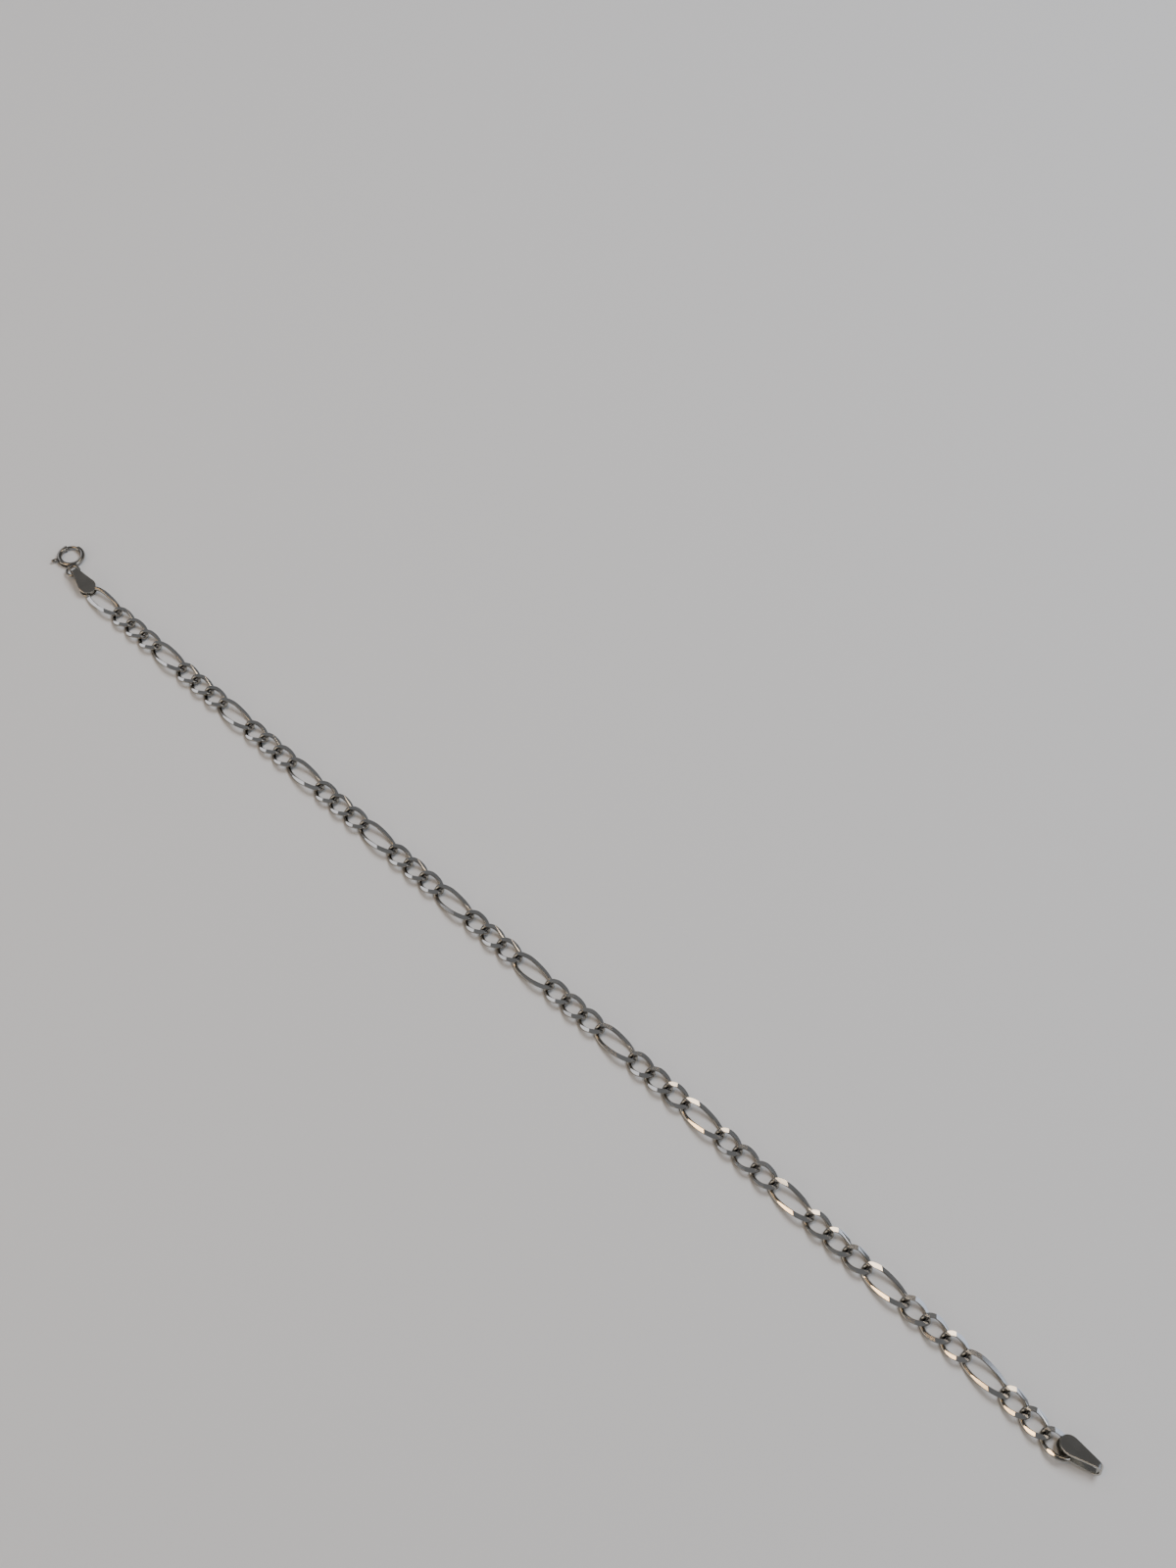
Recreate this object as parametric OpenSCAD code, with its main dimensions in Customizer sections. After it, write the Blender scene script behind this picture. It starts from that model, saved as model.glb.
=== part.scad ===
// A link bracelet in silver, open and laid out nearly straight on a table. One long curb
// link and three short ones follow each other along the chain. A folded tab is soldered
// to each end. One tab holds the eye of a spring ring clasp, the other is the loop that
// the clasp closes on. +X runs from the clasp to that loop, +Z is up, the table is z = 0.

/* [Chain] */
// Groups of one long link and three short links
groups = 12; // [4:1:16]
// Inside length of a short link, the length it adds to the chain
short_pitch = 3.4; // [3:0.1:4.4]
// Inside length of a long link
long_pitch = 6.5; // [5:0.1:8]
// Width of every link over its wire
link_width = 3.5; // [3.4:0.1:4.4]
// Thickness of the link wire
link_wire = 0.7; // [0.56:0.02:0.76]
// Clearance between one link and the next
link_play = 0.12; // [0.1:0.01:0.2]
// How far each end of a link is twisted out of its middle plane, in degrees
twist_angle = 42; // [39:1:48]
// Depth that the diamond cut takes off the top and the bottom of a short link
cut_depth = 0.2; // [0.08:0.01:0.24]

/* [Tabs] */
// Length of a folded tab from the end of its loop to the end of its leaves
tab_length = 6.3; // [5.6:0.1:7.5]
// Width of the leaves at their round end
tab_width = 2.9; // [2.3:0.1:3.2]
// Width of the strip where it folds round
tab_neck = 1; // [0.7:0.05:1.1]
// Thickness of the sheet that the tabs are folded from
tab_sheet = 0.28; // [0.2:0.02:0.34]
// Inside diameter of the loop at the fold
loop_bore = 1.5; // [1.2:0.05:1.7]
// Space between the two leaves at their round end
leaf_gap = 0.62; // [0.4:0.02:0.7]
// How far the clasp tab reaches over the end of its link
clasp_grip = 1; // [1:0.1:2.6]
// How far the end tab reaches over the end of its link
end_grip = 2.6; // [1.1:0.1:2.8]
// How far the end tab is rolled onto its edge, as it lies, in degrees
end_roll = 20; // [0:1:24]

/* [Spring ring] */
// Outside diameter of the spring ring
ring_outer = 4.8; // [4.6:0.1:6]
// Outside diameter of the tube that the spring ring is bent from
tube_outer = 0.86; // [0.8:0.02:0.9]
// Wall of that tube
tube_wall = 0.12; // [0.1:0.01:0.15]
// Clearance of the bolt in its tube, all round
bolt_play = 0.07; // [0.05:0.01:0.1]
// Opening of the gate along the ring, in degrees
gate_opening = 54; // [40:1:56]
// Thickness of the pin that the thumb knob stands on
pin_diameter = 0.36; // [0.3:0.02:0.4]
// Thickness of the thumb knob
knob_diameter = 0.56; // [0.46:0.02:0.6]
// How far the thumb knob stands out from the tube
knob_reach = 1; // [0.7:0.05:1.2]
// Inside diameter of the eye that the clasp tab holds
eye_bore = 1.7; // [1.6:0.05:2.2]
// Thickness of the eye wire
eye_wire = 0.44; // [0.36:0.02:0.48]

/* [Hidden] */

$fn = 64;

// The bow of the chain as it lies: share of its length, heading in degrees
BOW = [[0, 0.5], [0.5, 0.3], [0.65, 0], [0.7, -1.6], [0.8, -0.9], [0.88, 0.3],
       [0.92, -2.3], [0.965, -5], [0.98, -6.8], [0.99, -0.5]];

RINGS = 16;               // cross-sections round one link
SIDES = 6;                // sides of the wire
LONG_SQUARENESS = 0.72;   // 1 is an ellipse, less has straighter sides
SHORT_SQUARENESS = 0.9;
PRESSED_SHARE = 0.4;      // twist left in a link's end that is pressed into a tab

link_count = 4 * groups;
last_link = link_count - 1;

half_width = (link_width - link_wire) / 2;

function is_long(i) = i % 4 == 0;
function pitch(i) = is_long(i) ? long_pitch : short_pitch;
function half_length(i) = (pitch(i) + link_wire + link_play) / 2;
function squareness(i) = is_long(i) ? LONG_SQUARENESS : SHORT_SQUARENESS;

chain_length = groups * (long_pitch + 3 * short_pitch);
START_SHARES = [for (i = 0, done = 0; i < link_count; done = done + pitch(i), i = i + 1)
    done / chain_length];
function heading(i) = lookup(START_SHARES[i], BOW);
function along(angle) = [cos(angle), sin(angle), 0];

// Junctions of the links on the table, the first at the left end of the first link
JUNCTIONS = [for (i = 0, p = [0, 0, 0]; i <= link_count;
                  p = p + pitch(min(i, last_link)) * along(heading(min(i, last_link))), i = i + 1) p];

// The tabs, from the centre of the loop to the end of the leaves
loop_outer = loop_bore + 2 * tab_sheet;
tab_reach = tab_length - loop_outer / 2;
neck_end = -0.1;
leaf_radius = tab_width / 2;
leaf_centre = tab_reach - leaf_radius;
neck_span = norm([leaf_centre - neck_end, tab_neck / 2]);
leaf_lean = acos(leaf_radius / neck_span) + atan(tab_neck / 2 / (leaf_centre - neck_end));
leaf_touch = [leaf_centre - leaf_radius * cos(leaf_lean), leaf_radius * sin(leaf_lean)];
edge_lean = atan((leaf_touch.y - tab_neck / 2) / (leaf_touch.x - neck_end));
clasp_tab_heading = -6.5;
end_tab_heading = 4;
end_tab_sideways = 0.6;
solder_diameter = 1.1;

function signed_power(v, e) = sign(v) * pow(abs(v), e);

// The axis of the wire at angle t round a link. The link is an oval that is twisted about
// its length, so it passes over one limb of the next link and under the other.
function twist_share(i, t) =
    (i == 0 && cos(t) < 0) || (i == last_link && cos(t) > 0) ? PRESSED_SHARE : 1;
function wire_axis(i, t) =
    let (lengthwise = signed_power(cos(t), squareness(i)),
         sideways = half_width * signed_power(sin(t), squareness(i)),
         twist = twist_angle * twist_share(i, t) * lengthwise)
    [half_length(i) * lengthwise, sideways * cos(twist), -sideways * sin(twist)];

// The cut leaves the chain this high on each side of its middle plane
axis_rise = max([for (t = [100:2:170]) wire_axis(1, t).z]);
half_height = axis_rise + link_wire / 2 - cut_depth;

// The last link rises to the end tab, which lies on one edge
end_wire_x = tab_reach - end_grip + link_wire / 2;
end_wire_z = (tab_sheet + leaf_gap / 2) * cos(end_roll) + sin(end_roll)
    * (tab_neck / 2 * cos(edge_lean) + (end_wire_x - neck_end) * sin(edge_lean));
last_rise = asin((end_wire_z - half_height) / (half_length(last_link) + pitch(last_link) / 2));

function unit(v) = v / norm(v);

// A corner of the wire at angle t round the link, flattened where the cut goes
function wire_corner(i, t, side) =
    let (along_wire = unit(wire_axis(i, t + 1) - wire_axis(i, t - 1)),
         outward = unit(cross(along_wire, [0, 0, 1])),
         upward = cross(outward, along_wire),
         turn = 360 * side / SIDES,
         p = wire_axis(i, t) + link_wire / 2 * (cos(turn) * outward + sin(turn) * upward))
    [p.x, p.y, max(-half_height, min(half_height, p.z))];

// A point tipped up about a place on the x axis, and a point turned about the z axis
function tipped(p, pivot, rise) =
    [pivot + (p.x - pivot) * cos(rise) - p.z * sin(rise), p.y,
     (p.x - pivot) * sin(rise) + p.z * cos(rise)];
function turned(p, angle) =
    [p.x * cos(angle) - p.y * sin(angle), p.x * sin(angle) + p.y * cos(angle), p.z];

// A point of link i, from its own centre to its place in the chain
function placed(i, p) =
    let (q = [p.x + pitch(i) / 2, p.y, p.z],
         risen = i == last_link ? tipped(q, -link_wire / 2, last_rise) : q)
    JUNCTIONS[i] + turned(risen, heading(i)) + [0, 0, half_height];

function link_points(i) =
    [for (ring = [0:RINGS - 1], side = [0:SIDES - 1])
        placed(i, wire_corner(i, 360 * ring / RINGS, side))];
function link_faces(first) =
    [for (ring = [0:RINGS - 1], side = [0:SIDES - 1])
        let (next_ring = (ring + 1) % RINGS, next_side = (side + 1) % SIDES,
             a = first + ring * SIDES + side,
             b = first + ring * SIDES + next_side,
             c = first + next_ring * SIDES + next_side,
             d = first + next_ring * SIDES + side)
        each [[a, b, c], [a, c, d]]];

module links(from, to) {
    polyhedron(points = [for (i = [from:to]) each link_points(i)],
               faces = [for (k = [0:to - from]) each link_faces(k * RINGS * SIDES)],
               convexity = 8);
}

// Outer ends of the chain, and the loop centre of each tab beyond them
function link_tip(i, way) =
    JUNCTIONS[i] + (pitch(i) / 2 + way * (half_length(i) + link_wire / 2)) * along(heading(i));
clasp_loop = link_tip(0, -1) - (tab_reach - clasp_grip) * along(clasp_tab_heading);
end_loop = link_tip(last_link, 1) + (tab_reach - end_grip) * along(end_tab_heading)
    + end_tab_sideways * along(end_tab_heading + 90);

// The spring ring turns on the eye to where it fell on the table
eye_radius = (eye_bore + eye_wire) / 2;
eye_outer = eye_bore + 2 * eye_wire;
ring_radius = (ring_outer - tube_outer) / 2;
solder_overlap = 0.1;
eye_solder = 0.5;
eye_bearing = -31.5;
eye_chord = sqrt(pow(eye_radius, 2) - pow(tab_neck / 2, 2));
eye_centre = clasp_loop - eye_chord * along(clasp_tab_heading);
ring_centre = eye_centre - (ring_outer / 2 + eye_outer / 2 - solder_overlap) * along(eye_bearing);
collar_wall = 0.05;
collar_outer = tube_outer + 2 * collar_wall;
ring_z = collar_outer / 2;
eye_play = 0.16;
eye_z = tab_sheet + eye_play + eye_wire / 2;

// Angles round the spring ring
gate_end = 160;
gate_start = gate_end - gate_opening;
socket_depth = 4;
socket_room = 3;          // bore left free beyond the bolt's nose
nose_showing = 1;         // nose that still stands in the open gate
slot_room = 1;            // slot left free beyond the pin at each end
travel = gate_opening + socket_depth - nose_showing;
knob_bearing = 245;
bolt_tail = 12;
bolt_diameter = tube_outer - 2 * tube_wall - 2 * bolt_play;
bore_diameter = tube_outer - 2 * tube_wall;
bore_end = 350;
slot_height = pin_diameter + 2 * bolt_play;
slot_margin = asin(slot_height / 2 / ring_radius) + slot_room;
collar_angle = 14;

// The table under the middle of the whole bracelet is the origin
left_end = ring_centre.x - ring_outer / 2;
right_end = end_loop.x + loop_outer / 2 * cos(end_tab_heading) + tab_neck / 2 * sin(end_tab_heading);
back_edge = ring_centre.y + ring_outer / 2;
front_edge = min([for (i = [0:last_link])
    (JUNCTIONS[i].y + JUNCTIONS[i + 1].y) / 2 - link_width / 2]);
middle = [(left_end + right_end) / 2, (back_edge + front_edge) / 2, 0];

// How far a cut runs on past what it cuts, in mm and in degrees round the ring
cut_over = 1;
bore_over = 1;

// An arc of round rod about the z axis. Its round section starts on the inner side, away
// from whatever is joined to the rod.
module rod_arc(radius, diameter, from, to) {
    rotate([0, 0, from])
        rotate_extrude(angle = to - from)
            translate([radius, 0])
                rotate(180)
                    circle(d = diameter);
}

// The folded strip seen from its side, the loop's centre at the origin. The lower leaf
// is flat, and the upper one slopes down from the loop in a straight line.
module strip_shape(radius, bottom, end_height, far) {
    slope = asin(radius / norm([far, bottom + end_height])) - atan((bottom + end_height) / far);
    circle(r = radius);
    polygon([[0, bottom], [far, bottom], [far, bottom + end_height],
             [radius * sin(slope), radius * cos(slope)], [0, 0]]);
}
module fold_profile() {
    inner = loop_bore / 2;
    outer = loop_outer / 2;
    difference() {
        strip_shape(outer, -outer, leaf_gap + 2 * tab_sheet, tab_reach);
        strip_shape(inner, -inner, leaf_gap, tab_reach + cut_over);
    }
}

// The strip seen from above: a straight neck, tapered sides and a round end
module leaf_outline() {
    translate([leaf_centre, 0]) circle(r = leaf_radius);
    polygon([[-loop_outer, -tab_neck / 2], [neck_end, -tab_neck / 2],
             [leaf_touch.x, -leaf_touch.y], [leaf_centre, 0], [leaf_touch.x, leaf_touch.y],
             [neck_end, tab_neck / 2], [-loop_outer, tab_neck / 2]]);
}

// A folded tab lying on the table below its loop, with the solder that holds its link
module folded_tab(grip) {
    translate([0, 0, loop_outer / 2])
        intersection() {
            rotate([90, 0, 0])
                linear_extrude(height = tab_width + 2 * cut_over, center = true)
                    fold_profile();
            translate([0, 0, -loop_outer])
                linear_extrude(height = 2 * loop_outer)
                    leaf_outline();
        }
    translate([tab_reach - grip + link_wire / 2, 0, tab_sheet / 2])
        cylinder(d = solder_diameter, h = leaf_gap + tab_sheet);
}

// Roll what lies on the table onto the right edge of the tab
module on_edge(roll) {
    corner = [neck_end, -tab_neck / 2, 0];
    translate(corner)
        rotate([0, 0, -edge_lean])
            rotate([roll, 0, 0])
                rotate([0, 0, edge_lean])
                    translate(-corner)
                        children();
}

module chain() {
    color("silver")
        translate(-middle)
            links(1, last_link - 1);
}

module clasp_tab() {
    color("silver")
        translate(-middle)
            union() {
                translate(clasp_loop)
                    rotate([0, 0, clasp_tab_heading])
                        folded_tab(clasp_grip);
                links(0, 0);
            }
}

module end_tab() {
    color("silver")
        translate(-middle)
            union() {
                translate(end_loop)
                    rotate([0, 0, end_tab_heading + 180])
                        on_edge(end_roll)
                            folded_tab(end_grip);
                links(last_link, last_link);
            }
}

module clasp_ring() {
    color("gainsboro")
        translate(ring_centre - middle + [0, 0, ring_z])
            difference() {
                union() {
                    rod_arc(ring_radius, tube_outer, gate_end, gate_start + 360);
                    rod_arc(ring_radius, collar_outer, gate_end, gate_end + collar_angle);
                    translate(eye_centre - ring_centre + [0, 0, eye_z - ring_z])
                        rod_arc(eye_radius, eye_wire, 0, 360);
                    rotate([0, 0, eye_bearing])
                        translate([ring_outer / 2, 0, (eye_z - ring_z) / 2])
                            sphere(d = eye_solder);
                }
                rod_arc(ring_radius, bore_diameter, gate_end - bore_over, bore_end);
                rod_arc(ring_radius, bore_diameter, gate_start - socket_depth - socket_room,
                        gate_start + bore_over);
                rotate([0, 0, knob_bearing - slot_margin])
                    rotate_extrude(angle = travel + 2 * slot_margin)
                        translate([ring_radius, -slot_height / 2])
                            square([tube_outer, slot_height]);
            }
}

module clasp_bolt() {
    color("gainsboro")
        translate(ring_centre - middle + [0, 0, ring_z])
            union() {
                rod_arc(ring_radius, bolt_diameter, gate_start - socket_depth,
                        knob_bearing + bolt_tail);
                rotate([0, 0, knob_bearing]) {
                    translate([ring_radius, 0, 0])
                        rotate([0, 90, 0])
                            cylinder(d = pin_diameter, h = tube_outer / 2 + knob_reach / 2);
                    translate([ring_outer / 2 + bolt_play, 0, 0])
                        rotate([0, 90, 0])
                            cylinder(d = knob_diameter, h = knob_reach - bolt_play - knob_diameter / 2);
                    translate([ring_outer / 2 + knob_reach - knob_diameter / 2, 0, 0])
                        sphere(d = knob_diameter);
                }
            }
}

chain();
clasp_tab();
end_tab();
clasp_ring();
clasp_bolt();
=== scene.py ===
# %% [markdown]
# # A silver link bracelet, open on a table
#
# The bracelet is a chain of long and short curb links between two folded tabs. One tab
# holds a spring ring clasp, the other is the loop that the clasp closes on. The solids
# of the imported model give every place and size. Here each one gets a finer piece in the
# same place: round wire, flats that a diamond tool has cut, folded sheet and bent tube.
#
# Jewellers measure in millimetres, so lengths here are in millimetres too, and a piece
# is only brought to Blender's metres when it is finished.

import math

import bmesh
import bpy
from mathutils import Matrix, Vector


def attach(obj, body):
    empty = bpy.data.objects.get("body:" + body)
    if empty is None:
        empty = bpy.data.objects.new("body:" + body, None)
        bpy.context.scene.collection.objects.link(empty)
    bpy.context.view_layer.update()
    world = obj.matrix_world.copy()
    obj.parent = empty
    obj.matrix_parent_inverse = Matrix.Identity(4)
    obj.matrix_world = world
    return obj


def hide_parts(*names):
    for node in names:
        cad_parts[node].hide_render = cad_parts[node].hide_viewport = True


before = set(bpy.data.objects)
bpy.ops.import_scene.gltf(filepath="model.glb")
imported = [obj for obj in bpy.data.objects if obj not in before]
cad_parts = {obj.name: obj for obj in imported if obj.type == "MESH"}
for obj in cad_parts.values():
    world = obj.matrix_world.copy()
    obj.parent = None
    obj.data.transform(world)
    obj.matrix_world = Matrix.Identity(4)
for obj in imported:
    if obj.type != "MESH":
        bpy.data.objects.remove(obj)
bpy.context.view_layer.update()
MM = 0.001

# %% [markdown]
# ## How the links repeat
#
# The chain is one long link and three short ones, again and again. A link adds its
# inside length to the chain, because the next link hangs in its end. That length is its
# pitch. The pitches could be measured on the solids, but a few named sizes say more to a
# reader, and a piece that is built from the sizes of its solid lies where the solid lies.

# %% Pitches of the links
GROUPS = 12
SHORT_PITCH = 3.4
LONG_PITCH = 6.5
LINK_WIRE = 0.7
LINK_PLAY = 0.12          # clearance between one link and the next

LINKS = 4 * GROUPS
WIRE_RADIUS = LINK_WIRE / 2


def is_long(i):
    return i % 4 == 0


def pitch(i):
    return LONG_PITCH if is_long(i) else SHORT_PITCH


def half_length(i):
    """Half the length of link i, from one end's wire centre to the other's."""
    return (pitch(i) + LINK_WIRE + LINK_PLAY) / 2


chain_length = GROUPS * (LONG_PITCH + 3 * SHORT_PITCH)
print(LINKS, "links of", LINK_WIRE, "mm wire,", round(chain_length, 1), "mm together")

# %% [markdown]
# ## The path of the wire in a link
#
# A curb link starts as an oval of wire. Its two ends are then turned opposite ways about
# its length, until the chain lies flat. The path could be drawn by hand as a curve, but
# a formula keeps all links alike: an oval with slightly square corners, which is twisted
# more the farther a point lies from its middle. An end that is pressed between the
# leaves of a tab keeps only a part of its twist.

# %% The path of the wire
LINK_WIDTH = 3.5
TWIST_ANGLE = math.radians(42)
LONG_SQUARENESS = 0.72    # 1 gives a true ellipse, less gives squarer corners
SHORT_SQUARENESS = 0.9
PRESSED_SHARE = 0.4       # the share of its twist that a pressed end keeps


def signed_power(v, e):
    return math.copysign(abs(v) ** e, v)


def wire_centre(i, t):
    """The centre of the wire of link i at angle t round it: an oval, twisted about x."""
    squareness = LONG_SQUARENESS if is_long(i) else SHORT_SQUARENESS
    lengthwise = signed_power(math.cos(t), squareness)
    sideways = (LINK_WIDTH - LINK_WIRE) / 2 * signed_power(math.sin(t), squareness)
    pressed = (i == 0 and lengthwise < 0) or (i == LINKS - 1 and lengthwise > 0)
    twist = TWIST_ANGLE * lengthwise * (PRESSED_SHARE if pressed else 1)
    return Vector((half_length(i) * lengthwise, sideways * math.cos(twist),
                   -sideways * math.sin(twist)))


# %% How high a cut link stands
CUT_DEPTH = 0.2                     # what the level cut takes off a raised end
RAISED_END = range(100, 171, 2)     # degrees round a link, where one end is raised

wire_rise = max(wire_centre(1, math.radians(t)).z for t in RAISED_END)
HALF_HEIGHT = wire_rise + WIRE_RADIUS - CUT_DEPTH
print("a cut link is", round(2 * HALF_HEIGHT, 2), "mm high")

# %% [markdown]
# ## The bow of the chain
#
# A chain that is put down by hand lies in a slack bow. It could be dropped on the table
# in a simulation, but then it would lie anywhere. The few headings below, which also
# place the solids, make it lie as in the photograph. Each link starts where the one
# before it ends.

# %% The run of the links
# Each pair is a share of the chain's length from the clasp, and the heading there in degrees
BOW = [(0, 0.5), (0.5, 0.3), (0.65, 0), (0.7, -1.6), (0.8, -0.9), (0.88, 0.3),
       (0.92, -2.3), (0.965, -5), (0.98, -6.8), (0.99, -0.5)]


def along(angle):
    """The level direction at an angle from +x."""
    return Vector((math.cos(angle), math.sin(angle), 0))


def bow_heading(share):
    """The heading of the chain in degrees at a share of its length."""
    for (a, low), (b, high) in zip(BOW, BOW[1:]):
        if share <= b:
            return low + (high - low) * (share - a) / (b - a)
    return BOW[-1][1]


headings = []
junctions = [Vector((0, 0, 0))]
done = 0
for i in range(LINKS):
    headings.append(math.radians(bow_heading(done / chain_length)))
    junctions.append(junctions[-1] + pitch(i) * along(headings[i]))
    done += pitch(i)
print("the chain ends", round(junctions[-1].y, 2), "mm to the side of its start")

# %% [markdown]
# ## The places of the tabs
#
# A tab is a strip of sheet that is folded round into a loop, with both leaves soldered
# over the end of a link. The tab at the clasp lies flat on its lower leaf. The other one
# has rolled onto an edge of its strip and lifts the last link a little. Both places are
# worked out from the link that the tab holds, so they follow the chain.

# %% Sizes and places of the tabs
TAB_LENGTH = 6.3
TAB_WIDTH = 2.9
TAB_NECK = 1.0            # width of the strip where it is folded
TAB_SHEET = 0.28          # thickness of the strip
LOOP_BORE = 1.5
LEAF_GAP = 0.62           # between the two leaves, where they hold the wire
NECK_END = -0.1           # where the strip starts to widen, from the loop's centre
CLASP_GRIP = 1.0          # how far a tab reaches over its link
END_GRIP = 2.6
CLASP_HEADING = math.radians(-6.5)
END_HEADING = math.radians(4)
END_SIDEWAYS = 0.6        # how far the end tab sits off the last link's middle
END_ROLL = math.radians(20)

loop_outer = LOOP_BORE + 2 * TAB_SHEET
tab_reach = TAB_LENGTH - loop_outer / 2
leaf_radius = TAB_WIDTH / 2
leaf_centre = tab_reach - leaf_radius
neck_run = leaf_centre - NECK_END
leaf_lean = (math.acos(leaf_radius / math.hypot(neck_run, TAB_NECK / 2))
             + math.atan(TAB_NECK / 2 / neck_run))
leaf_touch = (leaf_centre - leaf_radius * math.cos(leaf_lean), leaf_radius * math.sin(leaf_lean))
edge_lean = math.atan((leaf_touch[1] - TAB_NECK / 2) / (leaf_touch[0] - NECK_END))


def link_tip(i, way):
    """The outer end of link i, at its start (way -1) or its far end (way 1)."""
    reach = pitch(i) / 2 + way * (half_length(i) + WIRE_RADIUS)
    return junctions[i] + reach * along(headings[i])


clasp_loop = link_tip(0, -1) - (tab_reach - CLASP_GRIP) * along(CLASP_HEADING)
end_loop = (link_tip(LINKS - 1, 1) + (tab_reach - END_GRIP) * along(END_HEADING)
            + END_SIDEWAYS * along(END_HEADING + math.pi / 2))
end_wire_x = tab_reach - END_GRIP + WIRE_RADIUS
end_wire_z = (TAB_SHEET + LEAF_GAP / 2) * math.cos(END_ROLL) + math.sin(END_ROLL) * (
    TAB_NECK / 2 * math.cos(edge_lean) + (end_wire_x - NECK_END) * math.sin(edge_lean))
last_rise = math.asin((end_wire_z - HALF_HEIGHT) / (half_length(LINKS - 1) + SHORT_PITCH / 2))
print("the last link climbs", round(math.degrees(last_rise), 1), "degrees to its tab")

# %% [markdown]
# ## The place of the spring ring
#
# The clasp is a ring of tube with a small eye soldered to it, and the eye hangs in the
# fold of the clasp tab. So the eye's place comes from the tab, and the ring's from the
# eye. With both ends known, the whole bracelet can be centred, as its solids are.

# %% Sizes and places of the ring and its eye
RING_OUTER = 4.8
TUBE_OUTER = 0.86
COLLAR_WALL = 0.05        # how far the collar stands out of the tube
EYE_BORE = 1.7
EYE_WIRE = 0.44
EYE_PLAY = 0.16           # clearance between the eye and the leaf below it
EYE_BEARING = math.radians(-31.5)
SOLDER_OVERLAP = 0.1

eye_radius = (EYE_BORE + EYE_WIRE) / 2
ring_radius = (RING_OUTER - TUBE_OUTER) / 2
eye_chord = math.sqrt(eye_radius ** 2 - (TAB_NECK / 2) ** 2)
eye_centre = clasp_loop - eye_chord * along(CLASP_HEADING)
ring_centre = eye_centre - (RING_OUTER / 2 + EYE_BORE / 2 + EYE_WIRE
                            - SOLDER_OVERLAP) * along(EYE_BEARING)
ring_z = TUBE_OUTER / 2 + COLLAR_WALL
eye_z = TAB_SHEET + EYE_PLAY + EYE_WIRE / 2

# %% The middle of the bracelet
link_centres = [(a + b) / 2 for a, b in zip(junctions, junctions[1:])]
left_end = ring_centre.x - RING_OUTER / 2
right_end = (end_loop.x + loop_outer / 2 * math.cos(END_HEADING)
             + TAB_NECK / 2 * math.sin(END_HEADING))
back_edge = ring_centre.y + RING_OUTER / 2
front_edge = min(c.y for c in link_centres) - LINK_WIDTH / 2
middle = Vector(((left_end + right_end) / 2, (back_edge + front_edge) / 2, 0))
print("from clasp to end tab", round(right_end - left_end, 1), "mm")

# %% [markdown]
# ## Silver, finished in four ways
#
# Everything here is sterling silver, and all that differs is how each surface was made.
# Polished silver has almost no colour of its own, so the eye reads it by what it
# mirrors: broad bright flats, thin bright lines on round wire, and dark lines where it
# mirrors a dark corner. A worn bracelet also has a thin film of tarnish, which makes the
# wire and the sheet a warm grey, and their colour is made darker still as painted shade:
# it stands for the dark room that they would mirror, while the table here is pale. Only
# the diamond cuts stay nearly white. Colours are given as hex values, as a picture editor
# shows them, and one function turns them into the linear light that Blender counts in.


# %% Colour and node helpers
def linear(hex_colour):
    """An sRGB hex colour such as #C0C0C0 as linear red, green, blue and alpha."""
    parts = [int(hex_colour[i:i + 2], 16) / 255 for i in (1, 3, 5)]
    return [p / 12.92 if p <= 0.04045 else ((p + 0.055) / 1.055) ** 2.4 for p in parts] + [1]


def add(tree, kind, inputs=None, **settings):
    """Adds a node, gives it its settings, and sets or links its inputs."""
    node = tree.nodes.new(kind)
    for name, value in settings.items():
        setattr(node, name, value)
    for name, value in (inputs or {}).items():
        if isinstance(value, bpy.types.NodeSocket):
            tree.links.new(value, node.inputs[name])
        else:
            node.inputs[name].default_value = value
    return node


print("middle grey #808080 in linear light:", round(linear("#808080")[0], 3))

# %% [markdown]
# A polished surface is never quite even. Fine scratches lie along the way that the cloth
# went, and tarnish gathers in the corners between links. A stretched noise gives the
# scratches. The corners also get painted shade: they are darkened where links touch each
# other and the table, where the shade of the contact falls. The corners could be painted,
# but an ambient occlusion node finds them by itself, because it measures how shut in a
# place is. The real scratches are about 0.01 mm wide, far too fine to show, so they are
# drawn coarser.

# %% Silver with scratches, tarnish and painted shade in the corners
SCRATCH_MM = 0.12              # drawn coarser than real ones, so that they show
SCRATCH_RELIEF_MM = 0.004
SCRATCH_TONES = (0.3, 0.7)     # the part of the noise's range that most of it lies in
# Corners that neighbours shut in go towards the dark colour: tarnish there, and painted shade
# where links touch each other and the table.
SHADE_AND_TARNISH_REACH_MM = 0.5         # how near a neighbour has to be to shut a place in
SHUT_IN, OPEN = 0.25, 0.75     # how open a corner and a free surface are
CORNER_SHADE_AND_TARNISH = 0.9
FILM_PATCH_MM = 2.5
FILM_TONES = (0.35, 0.7)
FILM_TARNISH = 0.18


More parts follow.
